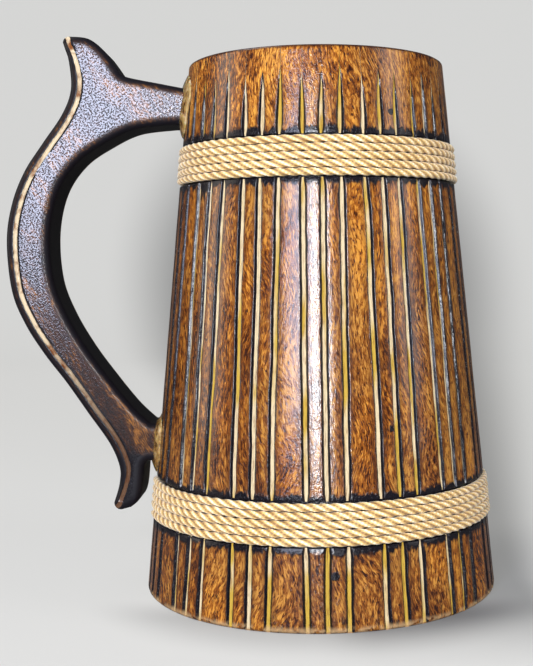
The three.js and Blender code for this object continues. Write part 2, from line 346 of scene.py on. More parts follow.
class Value:
    """An output of a node. Each step of plain arithmetic with it puts one Math node."""

    def __init__(self, bench, socket):
        self.bench, self.socket = bench, socket

    def __add__(self, other):
        return self.bench.math("ADD", self, other)

    def __radd__(self, other):
        return self.bench.math("ADD", other, self)

    def __sub__(self, other):
        return self.bench.math("SUBTRACT", self, other)

    def __rsub__(self, other):
        return self.bench.math("SUBTRACT", other, self)

    def __mul__(self, other):
        return self.bench.math("MULTIPLY", self, other)

    def __truediv__(self, other):
        return self.bench.math("DIVIDE", self, other)

    def __rtruediv__(self, other):
        return self.bench.math("DIVIDE", other, self)

    def __abs__(self):
        return self.bench.math("ABSOLUTE", self)


class Bench:
    """Puts nodes into one tree. An input that is given a Value is linked; any other is set."""

    def __init__(self, tree):
        self.tree = tree

    def feed(self, socket, value):
        if isinstance(value, Value):
            self.tree.links.new(value.socket, socket)
        elif socket.type == "RGBA" and len(value) == 3:
            socket.default_value = (*value, 1.0)
        else:
            socket.default_value = value

    def put(self, kind, inputs=None, **settings):
        node = self.tree.nodes.new(kind if kind.startswith("NodeGroup") else "ShaderNode" + kind)
        for name, value in settings.items():
            setattr(node, name, value)
        for key, value in (inputs or {}).items():
            self.feed(node.inputs[key], value)
        return node

    def read(self, output, kind, inputs=None, **settings):
        """Puts a node and gives one of its outputs."""
        return Value(self, self.put(kind, inputs, **settings).outputs[output])

    def outputs(self, node):
        return {output.name: Value(self, output) for output in node.outputs}

    def math(self, operation, *values):
        return self.read(0, "Math", dict(enumerate(values)), operation=operation)

    def most(self, first, *others):
        for other in others:
            first = self.math("MAXIMUM", first, other)
        return first

    def distance(self, first, second):
        """The length of a line that reaches this far each way."""
        return self.math("SQRT", first * first + second * second)

    def vector(self, operation, *values):
        return self.read(0, "VectorMath", dict(enumerate(values)), operation=operation)

    def object_place(self):
        """Where each point of the object is, in millimetres."""
        place = self.read("Object", "TexCoord")
        return self.read(0, "VectorMath", {0: place, "Scale": 1.0 / MM}, operation="SCALE")

    def mix(self, share, first, second, blend="MIX"):
        return self.read(2, "Mix", {0: share, 6: first, 7: second}, data_type="RGBA", blend_type=blend)

    def blend(self, share, first, second):
        return self.read(0, "Mix", {0: share, 2: first, 3: second}, data_type="FLOAT")

    def ease(self, value, low, high, start=0.0, end=1.0):
        inputs = {"Value": value, "From Min": low, "From Max": high, "To Min": start, "To Max": end}
        return self.read(0, "MapRange", inputs, interpolation_type="SMOOTHSTEP")

    def cloud(self, position, scale, detail=2.0, roughness=0.5, distortion=0.0, stretch=None):
        """Noise of about 0 to 1. A stretch under 1 draws it out along that axis."""
        if stretch:
            position = self.vector("MULTIPLY", position, stretch)
        inputs = {"Vector": position, "Scale": scale, "Detail": detail, "Roughness": roughness}
        return self.read(0, "TexNoise", inputs | {"Distortion": distortion})

    def ramp(self, value, stops):
        node = self.put("ValToRGB", {0: value})
        while len(node.color_ramp.elements) < len(stops):
            node.color_ramp.elements.new(1.0)
        for element, (place, shade) in zip(node.color_ramp.elements, stops):
            element.position = place
            element.color = (*shade, 1.0)
        return Value(self, node.outputs[0])

    def attribute(self, name, output="Fac"):
        return self.read(output, "Attribute", attribute_name=name)

    def parts(self, vector):
        return self.outputs(self.put("SeparateXYZ", {0: vector})).values()

    def join(self, x, y, z):
        return self.read(0, "CombineXYZ", {0: x, 1: y, 2: z})

    def bump(self, height, strength, distance):
        return self.read(0, "Bump", {"Height": height, "Strength": strength, "Distance": distance * MM})

    def group(self, name, inputs):
        return self.outputs(self.put("Group", inputs, node_tree=bpy.data.node_groups[name]))


SOCKETS = {"vector": "NodeSocketVector", "value": "NodeSocketFloat", "colour": "NodeSocketColor"}


def new_group(name, inputs, outputs):
    """A shader node group with named sockets. Gives its bench, its inputs and what to feed."""
    tree = bpy.data.node_groups.new(name, "ShaderNodeTree")
    for label, kind, default in inputs:
        socket = tree.interface.new_socket(name=label, in_out="INPUT", socket_type=SOCKETS[kind])
        socket.default_value = (*default, 1.0) if kind == "colour" else default
    for label, kind in outputs:
        tree.interface.new_socket(name=label, in_out="OUTPUT", socket_type=SOCKETS[kind])
    bench = Bench(tree)
    return bench, bench.outputs(bench.put("NodeGroupInput")), bench.put("NodeGroupOutput").inputs


CURL_STRETCH = (2.0, 2.0, 0.42)


def wood_figure_group():
    """Wood with broad shading, growth lines and short dark flecks. The grain runs along z."""
    bench, given, result = new_group(
        "wood_figure",
        [
            ("Position", "vector", (0.0, 0.0, 0.0)), ("Pale", "colour", (0.7, 0.4, 0.15)),
            ("Middle", "colour", (0.4, 0.15, 0.03)), ("Dark", "colour", (0.08, 0.02, 0.01)),
            ("Spread", "value", 14.0), ("Lines", "value", 0.5), ("Flecks", "value", 0.5),
            ("Tone", "value", 0.0), ("Grain", "value", 1.0), ("Slant", "value", 0.35),
        ],
        [("Color", "colour"), ("Height", "value")],
    )
    position = given["Position"]
    broad_scale = 1.0 / given["Spread"]
    broad = bench.cloud(position, broad_scale, 3.0, 0.55, 0.8, stretch=(1.0, 1.0, 0.3))
    warp_scale = broad_scale * 0.7
    warp = bench.cloud(position, warp_scale, stretch=(1.0, 1.0, 0.5))
    pushed = (warp - 0.5) * 34.0
    x, y, z = bench.parts(position)
    wave = {
        "Vector": bench.join(x + y + pushed, 0.0, z * 0.1),
        "Scale": 0.11, "Distortion": 3.2, "Detail": 3.0, "Detail Scale": 1.6, "Detail Roughness": 0.65,
    }
    lines = bench.read("Fac", "TexWave", wave, wave_type="BANDS", bands_direction="X", wave_profile="SIN")
    swing = (bench.cloud(position, 0.034, 1.0, stretch=(1.0, 1.0, 0.8)) - 0.5) * 110.0 + z * 0.5
    leaning = bench.join(swing * given["Slant"], 0.0, 0.0)
    curl = bench.vector("ADD", bench.vector("MULTIPLY", position, CURL_STRETCH), leaning)
    grain = bench.cloud(curl, 0.95, 3.0, 0.62, 0.4)
    elsewhere = bench.vector("ADD", curl, (31.0, 7.0, 3.0))
    flecks = bench.ease(bench.cloud(elsewhere, 1.25, 1.0, 0.5, 0.3), 0.60, 0.72)
    tone = given["Tone"] + (broad * 1.35 - 0.2)
    tone = tone + (lines - 0.5) * given["Lines"]
    tone = tone + (grain - 0.5) * given["Grain"]
    tone = tone - flecks * given["Flecks"]
    lower = bench.mix(bench.ease(tone, 0.08, 0.42), given["Dark"], given["Middle"])
    bench.feed(result["Color"], bench.mix(bench.ease(tone, 0.42, 0.85), lower, given["Pale"]))
    bench.feed(result["Height"], grain - flecks * 1.2)


def scorch_group():
    """Where wood is burnt. Reach is over 1 where it is burnt through and under 0 where it is not."""
    bench, given, result = new_group(
        "scorch",
        [
            ("Position", "vector", (0.0, 0.0, 0.0)), ("Reach", "value", 0.0),
            ("Raggedness", "value", 0.6), ("Softness", "value", 0.25),
        ],
        [("Mask", "value")],
    )
    ragged = bench.cloud(given["Position"], 0.42, 4.0, 0.62, 0.4, stretch=(1.0, 1.0, 0.45))
    amount = given["Reach"] + (ragged - 0.5) * (given["Raggedness"] * 2.0)
    low = 0.5 - given["Softness"]
    high = 0.5 + given["Softness"]
    bench.feed(result["Mask"], bench.ease(amount, low, high))


def lacquer_group():
    """The orange-peel surface of brushed lacquer: fine ripples and slow waves."""
    bench, given, result = new_group(
        "lacquer_peel",
        [("Position", "vector", (0.0, 0.0, 0.0)), ("Fineness", "value", 1.0), ("Waves", "value", 0.5)],
        [("Height", "value"), ("Gloss", "value")],
    )
    fine = bench.cloud(given["Position"], given["Fineness"], 2.0, 0.6)
    slow = bench.cloud(given["Position"], given["Fineness"] * 0.16, 2.0)
    height = fine + slow * given["Waves"]
    bench.feed(result["Height"], height)
    bench.feed(result["Gloss"], bench.ease(slow, 0.3, 0.7))


def new_material(name):
    """A material with one Principled shader. Gives the material, its bench and the shader."""
    material = bpy.data.materials.new(name)
    material.use_nodes = True
    material.node_tree.nodes.clear()
    bench = Bench(material.node_tree)
    output = bench.put("OutputMaterial")
    shader = bench.put("BsdfPrincipled")
    bench.feed(output.inputs["Surface"], bench.outputs(shader)["BSDF"])
    return material, bench, shader


def dress(bench, shader, values):
    """Gives a shader its inputs by name."""
    for name, value in values.items():
        bench.feed(shader.inputs[name], value)


def scorched(bench, position, reach, raggedness, softness):
    given = {"Position": position, "Reach": reach, "Raggedness": raggedness, "Softness": softness}
    return bench.group("scorch", given)["Mask"]


def stave_material(body, rope, paint):
    """Varnished wood with pale carved grooves, burnt edges and burnt bands beside the ropes."""
    material, bench, shader = new_material("stave_wood")
    position = bench.attribute("unrolled", "Vector")
    share = bench.attribute("groove_share")
    tone = bench.attribute("stave_tone")
    across, _, height = bench.parts(position)
    figure = bench.group("wood_figure", {
        "Position": position, "Pale": paint.stave_pale, "Middle": paint.stave_middle,
        "Dark": paint.stave_dark, "Spread": 13.0, "Lines": 0.16, "Flecks": 0.62, "Grain": 2.4,
        "Tone": tone,
    })

    # burnt bands above and below each rope, and at the foot
    reach = bench.most(0.3 - height * 0.012, bench.attribute("burn_spot"))
    for middle in rope.bands:
        reach = bench.most(reach, 1.05 - (abs(height - middle) - rope.half_seat) * 0.27)
    band = scorched(bench, position, reach, 0.85, 0.16)
    toasted = scorched(bench, position, bench.most(reach * 0.9, 1.25 - share * 0.42), 0.5, 0.45)

    # burnt shoulders of the grooves
    wobble = bench.cloud(position, 0.55, 3.0, 0.6, stretch=(1.0, 1.0, 0.35))
    edge = share + (wobble - 0.5) * 0.95
    shoulder = 1.0 - bench.ease(edge, 0.92, 1.22)
    burnt = bench.most(shoulder, band)
    golden = bench.ease(bench.cloud(position, 0.032, stretch=(1.0, 1.0, 0.6)), 0.46, 0.60)
    honey = bench.ease(height, 142.0, 160.0) * bench.ease(across, -6.0, -30.0)
    golden = bench.most(golden, honey)
    tinted = bench.mix(0.5, figure["Color"], (1.0, 0.85, 0.45), "MULTIPLY")
    warm = bench.mix(golden, figure["Color"], tinted)
    lift = bench.mix(golden, (1.0, 1.0, 1.0), (1.22, 1.22, 1.15))
    lift = bench.mix(honey, lift, (1.5, 1.65, 1.8))
    wood = bench.mix(toasted * 0.7, bench.mix(1.0, warm, lift, "MULTIPLY"), paint.toast)
    wood = bench.mix(burnt, wood, paint.char)

    # fresh wood down in the grooves
    drift = bench.cloud(position, 0.28, stretch=(0.5, 0.5, 0.12))
    drift = drift + bench.ease(height, 60.0, 10.0, 0.0, 0.06)
    smear = bench.cloud(position, 0.8, 4.0, 0.7, stretch=(2.6, 2.6, 0.22))
    core = bench.mix(bench.ease(drift, 0.47, 0.60), paint.groove_cream, paint.groove_mustard)
    core = bench.mix(bench.ease(smear, 0.46, 0.74, 0.0, 0.75), core, paint.stave_middle)
    nibble = share + (wobble - 0.5) * 0.16
    fresh = 1.0 - bench.ease(nibble, 0.42, 0.52)
    skin = bench.mix(fresh, wood, core)

    # a paler worn corner at the foot, and a darker line round the top of the rim
    foot = 1.0 - bench.ease(height, 0.9, 2.6)
    foot = foot * bench.ease(bench.cloud(position, 0.3, 2.0), 0.36, 0.5)
    skin = bench.mix(foot * 0.7, skin, (0.42, 0.27, 0.13))
    rim = bench.ease(height, body.height - 1.3, body.height - 0.4)
    skin = bench.mix(rim * 0.85, skin, (0.03, 0.011, 0.008))

    peel = bench.group("lacquer_peel", {"Position": position, "Fineness": 1.1, "Waves": 0.9})
    varnished = 1.0 - fresh
    blister = bench.cloud(position, 1.3, 2.0, 0.7)
    ripples = blister + bench.cloud(position, 0.9, 2.0, 0.6, stretch=CURL_STRETCH)
    relief = peel["Height"] * 0.7 + figure["Height"] * 0.6
    relief = relief + blister * burnt * 2.6
    relief = relief + smear * fresh * 1.2
    rough = bench.blend(peel["Gloss"], 0.20, 0.30)
    rough = bench.blend(burnt, rough, 0.13)
    dress(bench, shader, {
        "Base Color": skin,
        "Roughness": bench.blend(fresh, rough, 0.6),
        "Coat Weight": varnished * bench.blend(burnt, 0.5, 0.25),
        "Coat Roughness": 0.07,
        "Coat Normal": bench.bump(ripples, 0.8, 0.065),
        "Specular IOR Level": 0.09,
        "Normal": bench.bump(relief, 0.7, 0.15),
    })
    return material


def handle_material(paint, handle):
    """Dark walnut under thick speckled lacquer, with a pale carved line along its outer edge."""
    material, bench, shader = new_material("handle_wood")
    position = bench.attribute("grain_place", "Vector")
    edge = bench.attribute("edge_distance")
    line = abs(bench.attribute("line_offset"))
    side = bench.attribute("side_share")
    _, _, height = bench.parts(bench.read("Object", "TexCoord"))
    figure = bench.group("wood_figure", {
        "Position": position, "Pale": paint.handle_pale, "Middle": paint.handle_middle,
        "Dark": paint.handle_dark, "Spread": 10.0, "Lines": 0.14, "Flecks": 0.25, "Grain": 1.2,
        "Tone": -0.05,
    })
    reach = 1.15 - edge * 0.36
    tail = bench.ease(height, 0.052, 0.042)
    reach = bench.most(reach, bench.most(side, tail) * 1.1)
    burnt = scorched(bench, position, reach, 0.35, 0.3)
    skin = bench.mix(burnt, figure["Color"], paint.char)
    wobble = bench.cloud(position, 0.5, 3.0, 0.6)
    half = handle.bead_breadth / 2
    beside = 1.0 - bench.ease(line, half * 1.4, half * 2.6)
    skin = bench.mix(beside, skin, paint.char)
    nibble = line + (wobble - 0.5) * 0.5
    fresh = 1.0 - bench.ease(nibble, half * 0.75, half * 1.05)
    smear = bench.cloud(position, 0.22, 3.0, 0.6)
    core = bench.mix(bench.ease(smear, 0.45, 0.7), paint.carved_line, paint.stave_middle)
    core = bench.mix(bench.ease(height, 0.10, 0.045, 0.0, 0.93), core, paint.toast)
    skin = bench.mix(fresh, skin, core)
    worn = bench.attribute("back_edge") + (wobble - 0.5) * 0.6
    skin = bench.mix(bench.ease(worn, 0.45, 0.75), skin, (0.62, 0.44, 0.29))
    peel = bench.group("lacquer_peel", {"Position": position, "Fineness": 1.0, "Waves": 0.4})
    speckle = bench.cloud(position, 1.7, 1.0, 0.6)
    specks = bench.ease(speckle, 0.44, 0.54)
    dull = bench.most(fresh, side, bench.ease(edge, 3.6, 2.2))
    dress(bench, shader, {
        "Base Color": skin,
        "Roughness": bench.blend(dull, bench.blend(specks, 0.36, 0.15), 0.5),
        "Coat Weight": bench.blend(specks, 0.03, 1.0) * bench.blend(dull, 1.0, 0.1),
        "Coat Roughness": 0.09,
        "Coat Normal": bench.bump(speckle, 0.8, 0.06),
        "Specular IOR Level": 0.12,
        "Normal": bench.bump(peel["Height"], 0.7, 0.09),
    })
    return material


def rope_material(paint):
    """Golden bast fibre whose colour varies from fibre to fibre, with a painted highlight on the strand
    crowns and painted shade between the strands.
    """
    material, bench, shader = new_material("jute_rope")
    place = bench.attribute("strand_place", "Vector")
    crown = bench.attribute("strand_crown")
    fibres = bench.cloud(place, 3.2, 3.0, 0.6, 0.2, stretch=(0.35, 1.0, 1.0))
    patches = bench.cloud(place, 1.0, 3.0, 0.55, stretch=(0.05, 0.02, 1.0))
    # nearness to a crown lightens the fibres: a painted highlight on the crowns and painted shade between
    # the strands
    tone = crown - 0.12 + (fibres - 0.5) * 0.75
    tone = tone + (patches - 0.5) * 0.5
    low = bench.mix(bench.ease(tone, 0.05, 0.42), paint.rope_brown, paint.rope_gold)
    skin = bench.mix(bench.ease(tone, 0.42, 0.85), low, paint.rope_pale)
    dress(bench, shader, {
        "Base Color": skin,
        "Roughness": bench.blend(fibres, 0.36, 0.62),
        "Sheen Weight": 0.25,
        "Sheen Roughness": 0.4,
        "Subsurface Weight": 0.12,
        "Subsurface Scale": 0.8 * MM,
        "Subsurface Radius": (1.0, 0.6, 0.25),
        "Normal": bench.bump(fibres, 0.7, 0.12),
    })
    return material


def glue_material(paint):
    """Hardened amber glue with bubbles in it."""
    material, bench, shader = new_material("amber_glue")
    position = bench.object_place()
    cloudy = bench.cloud(position, 0.35, 3.0, 0.6, 0.5)
    bubbles = bench.read("Distance", "TexVoronoi", {"Vector": position, "Scale": 0.9, "Randomness": 1.0})
    round_bubbles = 1.0 - bench.ease(bubbles, 0.12, 0.3)
    skin = bench.ramp(cloudy, [
        (0.34, (0.07, 0.032, 0.009)), (0.47, tuple(paint.glue_amber)),
        (0.57, (0.46, 0.29, 0.09)), (0.72, (0.66, 0.52, 0.30)),
    ])
    relief = cloudy + round_bubbles * 0.35
    dress(bench, shader, {
        "Base Color": skin,
        "Roughness": bench.ease(cloudy, 0.3, 0.7, 0.10, 0.24),
        "Transmission Weight": 0.25,
        "Subsurface Weight": 0.35,
        "Subsurface Scale": 2.5 * MM,
        "Subsurface Radius": (1.0, 0.5, 0.18),
        "Coat Weight": 0.8,
        "Coat Roughness": 0.06,
        "Normal": bench.bump(relief, 0.8, 0.5),
    })
    return material


def steel_material(paint):
    """Spun steel with fine turning marks."""
    material, bench, shader = new_material("liner_steel")
    position = bench.object_place()
    x, y, z = bench.parts(position)
    rings = bench.cloud(bench.join(bench.distance(x, y), z, 0.0), 4.0, 2.0, 0.7)
    smudge = bench.cloud(position, 0.06, 3.0)
    dress(bench, shader, {
        "Base Color": bench.mix(bench.ease(smudge, 0.4, 0.7), paint.steel, (0.50, 0.50, 0.50)),
        "Metallic": 1.0,
        "Roughness": bench.ease(smudge, 0.3, 0.7, 0.16, 0.30),
        "Normal": bench.bump(rings, 0.25, 0.05),
    })
    return material


def plain_wood_material(name, paint, along_x=False, dark=False):
    """Bare or oiled wood for the bottom disc and the dowels."""
    material, bench, shader = new_material(name)
    position = bench.object_place()
    x, y, z = bench.parts(position)
    grain = bench.join(z, y, x) if along_x else bench.join(x, z, y)
    pale, middle, deep = [[share * c for c in paint.bare_wood] for share in (1.0, 0.72, 0.35)]
    if dark:
        pale, middle, deep = paint.stave_pale, paint.stave_middle, paint.stave_dark
    figure = bench.group("wood_figure", {
        "Position": grain, "Pale": pale, "Middle": middle, "Dark": deep,
        "Spread": 18.0, "Lines": 0.35, "Flecks": 0.2, "Tone": 0.12,
    })
    peel = bench.group("lacquer_peel", {"Position": position, "Fineness": 0.9, "Waves": 0.5})
    dress(bench, shader, {
        "Base Color": figure["Color"],
        "Roughness": bench.blend(peel["Gloss"], 0.42, 0.6),
        "Normal": bench.bump(figure["Height"], 0.5, 0.15),
    })
    return material


# ---------------------------------------------------------------- staves


NO_GROOVE = 6.0  # the groove share of wood that is far from every groove
LAYOUT_RADIUS = 52.0  # the radius at which the figure of the wood is laid out flat
LAYOUT_SEAM = -166.0  # the angle at which that layout begins and ends


class Groove:
    """One carved groove: its line up the body, its breadth and its depth."""

    def __init__(self, body, rope, joint, side):
        self.body, self.rope, self.side = body, rope, side
        self.joint_angle = body.first_joint + 360.0 / body.staves * joint
        number = 3 * (joint % body.staves) + side
        carved_end = body.height - body.groove_end + body.groove_stagger / 2 * math.sin(2.4 * number)
        self.end = carved_end + body.groove_feather
        self.sway = Wander(seed=100 + number, wavelength=55.0)
        self.swell = Wander(seed=200 + number, wavelength=17.0)

    def angle(self, height):
        body = self.body
        at_base = math.degrees(body.spacing_at_base / body.base_radius)
        at_rim = math.degrees(body.spacing_at_rim / body.top_radius)
        spacing = at_base + (at_rim - at_base) * height / body.height
        farthest_sway = 0.17
        sway = np.degrees(farthest_sway * self.sway(height) / body_radius(body, height))
        return self.joint_angle + self.side * spacing + sway

    def half_breadth(self, height):
        taper_length, narrowest = 15.0, 0.62
        taper = np.clip((self.end - height) / taper_length, 0.0, 1.0) ** 0.75
        close = [np.abs(height - middle) - self.rope.half_seat for middle in self.rope.bands]
        narrowed = narrowest + (1.0 - narrowest) * smoothstep(0.0, 2.6, np.minimum(*close))
        swollen = self.body.groove_breadth / 2 * (1.0 + 0.07 * self.swell(height))
        return np.maximum(swollen * taper * narrowed, 0.02)

    def depth(self, height):
        return self.body.groove_depth * smoothstep(0.0, 12.0, self.end - height)

    def cut(self, angle, height):
        """Share of the way from the middle of the groove to its edge, and how deep the wood is cut."""
        offset = np.radians(angle - self.angle(height)) * body_radius(self.body, height)
        share = np.abs(offset) / self.half_breadth(height)
        hollow = 1.0 - smoothstep(0.35, 1.0, share)
        shoulder_depth, fall = 0.035, 1.8
        pressed = shoulder_depth * np.exp(-np.clip(share - 1.0, 0.0, None) * fall)
        shoulder = pressed * smoothstep(0.0, 10.0, self.end - height)
        return np.minimum(share, NO_GROOVE), self.depth(height) * hollow + shoulder


# angle, height and size of each spot where the torch lingered
BURN_SPOTS = (
    (-50.0, 139.0, 6.0), (-38.0, 131.0, 1.2), (24.0, 60.0, 1.1), (4.0, 17.0, 1.3), (31.0, 159.0, 1.0),
)


def burn_spots(angle, height, radius):
    """How near each place is to a burnt spot: 1.25 at its middle, and falling off outwards."""
    best = np.zeros(np.shape(angle))
    for spot_angle, spot_height, size in BURN_SPOTS:
        across = np.radians((angle - spot_angle + 180.0) % 360.0 - 180.0) * radius
        best = np.maximum(best, 1.25 - 0.75 * np.hypot(across, height - spot_height) / size)
    return best


# where the columns of points beside a groove stand, as shares of its half breadth
SPREAD = (0.24, 0.45, 0.58, 0.72, 0.86, 1.0, 1.18)


def stave_columns(grooves, body, heights):
    """The angles of a stave's columns of points at each height."""
    to_angle = np.degrees(1.0 / body_radius(body, heights))
    steps = [share * body.groove_breadth / 2 * to_angle for share in SPREAD]
    lines = [groove.angle(heights) for groove in grooves]
    gap = body.glue_line / 2 * to_angle
    columns = [grooves[0].joint_angle + gap] + [lines[0] + step for step in steps]
    for index, inside in ((1, 3), (2, 5), (3, 3)):
        start, end = columns[-1], lines[index] - steps[-1]
        columns += [start + (end - start) * k / (inside + 1) for k in range(1, inside + 1)]
        columns += [lines[index] - step for step in reversed(steps)]
        if index < 3:
            columns += [lines[index]] + [lines[index] + step for step in steps]
    columns.append(grooves[3].joint_angle - gap)
    return np.stack(columns, 1)


def outer_rows(body, rope):
    """Rows of a stave from the base to the rim: height, and how far the lathe cut below the taper."""
    depth = rope.diameter + rope.clearance - rope.protrusion
    chamfer, rim = body.base_chamfer, body.rim_chamfer
    bend = ((0.0, 1.0), (0.35, 0.52), (0.7, 0.16), (1.15, 0.0))
    rows = [(up * chamfer, in_ * chamfer) for up, in_ in bend]
    stops = []
    for middle in rope.bands:
        low, high = middle - rope.half_seat, middle + rope.half_seat
        stops.append((low, high))
        rows += [(low - 0.4, 0.0), (low - 0.1, 0.08), (low, 0.35), (low, depth), (middle, depth)]
        rows += [(high, depth), (high, 0.35), (high + 0.1, 0.08), (high + 0.4, 0.0)]
    fine = np.concatenate([
        np.arange(2.4, stops[0][0] - 0.9, 1.3), np.arange(stops[0][1] + 1.0, stops[1][0] - 0.9, 1.3),
        np.arange(stops[1][1] + 1.0, body.height - rim - 0.4, 0.85),
    ])
    rows += [(height, 0.0) for height in fine]
    for turn in np.radians((0.0, 22.5, 45.0, 67.5, 90.0)):
        rows.append((body.height - rim + rim * math.sin(turn), rim * (1 - math.cos(turn))))
    seat_order = {}
    for low, high in stops:
        seat_order[low] = 1.0
        seat_order[high] = -1.0
    return sorted(rows, key=lambda row: (row[0], row[1] * seat_order.get(row[0], 1.0)))


def inner_rows(body):
    """Rows of a stave from the rim down the bore and round the rebate: radius and height."""
    top, lip = body.height, body.lip_seat_radius
    shelf = top - body.lip_seat_depth
    rows = [(0.5 * (lip + body.top_radius), top), (lip + 0.25, top), (lip, top - 0.25), (lip, shelf)]
    rows += [(body.bore_radius + 0.2, shelf), (body.bore_radius, shelf - 0.2)]
    rows += [(body.bore_radius, height) for height in np.linspace(shelf - 20, body.disc_thickness, 6)]
    rows += [(body.disc_radius, body.disc_thickness), (body.disc_radius, 0.3)]
    rows += [(body.disc_radius + 0.3, 0.0)]
    return rows


def stave_mesh(index, body, rope):
    """A carved stave that reaches from one joint to the next."""
    grooves = [
        Groove(body, rope, index, 0), Groove(body, rope, index, 1),
        Groove(body, rope, index + 1, -1), Groove(body, rope, index + 1, 0),
    ]
    outer, inner = outer_rows(body, rope), inner_rows(body)
    heights = np.array([height for height, _ in outer] + [height for _, height in inner])
    insets = np.array([inset for _, inset in outer])
    angles = stave_columns(grooves, body, heights)
    rows, columns = angles.shape
    tall = np.repeat(heights[:, None], columns, 1)
    cuts = [groove.cut(angles, tall) for groove in grooves]
    share = np.min([cut[0] for cut in cuts], axis=0)
    carved = np.max([cut[1] for cut in cuts], axis=0)
    radius = body_radius(body, tall)
    unevenness = 0.07
    hand = lumps(around(radius, angles, tall).reshape(-1, 3), 9.0, 1).reshape(rows, columns)
    surface = radius - unevenness * hand
    count = len(outer)
    radius[:count] = surface[:count] - np.maximum(insets[:, None], carved[:count])
    radius[count:] = np.array([out for out, _ in inner])[:, None]
    in_seat = np.zeros(rows, bool)
    in_seat[:count] = insets > body.groove_depth
    share[in_seat] = NO_GROOVE
    share[count:] = NO_GROOVE
    points = around(radius, angles, tall).reshape(-1, 3)
    faces = grid_faces(rows, columns, wrap_rows=True)
    faces.append(tuple(r * columns for r in range(rows)))
    faces.append(tuple(r * columns + columns - 1 for r in range(rows)))
    mesh = new_mesh(f"carved_stave_{index + 1:02d}", points, faces, 50.0)
    turned = np.radians((angles - LAYOUT_SEAM) % 360.0 + LAYOUT_SEAM)
    unrolled = np.stack([turned * LAYOUT_RADIUS, radius - LAYOUT_RADIUS, tall], -1)
    store(mesh, "unrolled", unrolled.reshape(-1, 3))
    store(mesh, "groove_share", share.ravel())
    store(mesh, "burn_spot", burn_spots(angles, tall, radius).ravel())
    tone = random.Random(500 + index).uniform(-0.07, 0.07)
    store(mesh, "stave_tone", np.full(rows * columns, tone))
    return mesh


def dowel_holes(body, handle):
    """The two blind holes through the handle's feet into the body."""
    wood_left, depth_in_foot = 2.3, 11.3
    return [
        bar_mesh(
            handle.dowel_hole, -(body_radius(body, height) + depth_in_foot),
            -(body.bore_radius + wood_left), height,
        )
        for height in (handle.upper_foot, handle.lower_foot)
    ]


class MUG_OT_staves(bpy.types.Operator):
    """Make the carved staves of the body"""

    bl_idname = "mug.staves"
    bl_label = "Staves"

    def execute(self, context):
        body, rope, handle = body_sizes(), rope_sizes(), handle_sizes()
        material = stave_material(body, rope, context.scene.mug_colours)
        for index in range(body.staves):
            mesh = stave_mesh(index, body, rope)
            piece = new_piece(mesh.name, mesh, material, f"stave_{index + 1:02d}")
            middle = body.first_joint + 360.0 / body.staves * (index + 0.5)
            from_handle = (middle - HANDLE_ANGLE + 180.0) % 360.0 - 180.0
            if abs(from_handle) < 20.0:
                cut_away(piece, dowel_holes(body, handle))
        return {"FINISHED"}


# ---------------------------------------------------------------- bottom and liner


class MUG_OT_bottom(bpy.types.Operator):
    """Make the turned disc that closes the bottom of the body"""

    bl_idname = "mug.bottom"
    bl_label = "Bottom disc"

    def execute(self, context):
        body = body_sizes()
        radius, top = body.disc_radius - 0.3, body.disc_thickness - 0.3
        turning = [(radius - 1.2 - k, 0.04 * (k % 2)) for k in range(0, int(radius) - 3, 2)]
        profile = [(0.0, 0.0)] + turning[::-1] + [(radius - 0.6, 0.0), (radius, 0.6), (radius, top - 0.4)]
        profile += [(radius - 0.4, top), (0.0, top)]
        mesh = lathe("turned_bottom_disc", profile, 120)
        material = plain_wood_material("bottom_wood", context.scene.mug_colours, dark=True)
        new_piece(mesh.name, mesh, material, "bottom_disc")
        return {"FINISHED"}


class MUG_OT_liner(bpy.types.Operator):
    """Make the spun steel liner with its rolled lip"""

    bl_idname = "mug.liner"
    bl_label = "Steel liner"

    def execute(self, context):
        body = body_sizes()
        outside, wall, corner = body.bore_radius - 0.4, 0.8, 5.0
        gap, lip = 0.4, 1.2
        floor, lip_top, lip_edge = body.disc_thickness + gap, body.height + gap, body.lip_seat_radius - gap

        def arc(out, up, radius, start, end):
            turns = [start + k / 8 * (end - start) for k in range(9)]
            return [(out + radius * math.cos(t), up + radius * math.sin(t)) for t in turns]

        def bend(radius, round_, height):
            return arc(radius - round_, height + round_, round_, -math.pi / 2, 0.0)

        rolled = arc(lip_edge - lip / 2, lip_top - lip / 2, lip / 2, -math.pi / 2, math.pi / 2)
        profile = [(0.0, floor)] + bend(outside, corner, floor)
        profile += [(outside, height) for height in (60.0, 100.0, 140.0, lip_top - lip)]
        profile += rolled + [(outside + 0.2, lip_top), (outside - wall + 0.1, lip_top - 0.12)]
        profile += [(outside - wall, lip_top - 0.5)]
        profile += [(outside - wall, height) for height in (140.0, 100.0, 60.0)]
        profile += bend(outside - wall, corner - wall, floor + wall)[::-1] + [(0.0, floor + wall)]
        mesh = lathe("spun_steel_liner", profile, 144)
        material = steel_material(context.scene.mug_colours)
        new_piece(mesh.name, mesh, material, "steel_liner")
        return {"FINISHED"}


# ---------------------------------------------------------------- ropes


def rope_route(share, middle, body, rope):
    """The middle line of a rope: level turns that climb one pitch over a short crossover."""
    swept = share * (360.0 * rope.turns - rope.crossover_span)
    turn = np.floor(swept / 360.0)
    climb = smoothstep(360.0 - rope.crossover_span, 360.0, swept - 360.0 * turn)
    height = middle + rope.pitch * (turn + climb - (rope.turns - 1) / 2)
    radius = body_radius(body, height) + rope.protrusion - rope.diameter / 2
    return around(radius, rope.crossover + rope.crossover_span / 2 + swept, height)


def strand_radius(turn, diameter):
    """The outline of three strands pressed together, and how near each place is to a crown."""
    third = math.tau / 3
    local = (turn + third / 2) % third - third / 2
    strand, centre = 0.565 * diameter / 2, 0.435 * diameter / 2
    reach = centre * np.cos(local) + np.sqrt(strand**2 - (centre * np.sin(local)) ** 2)
    return reach, 1.0 - np.abs(local) / (third / 2)


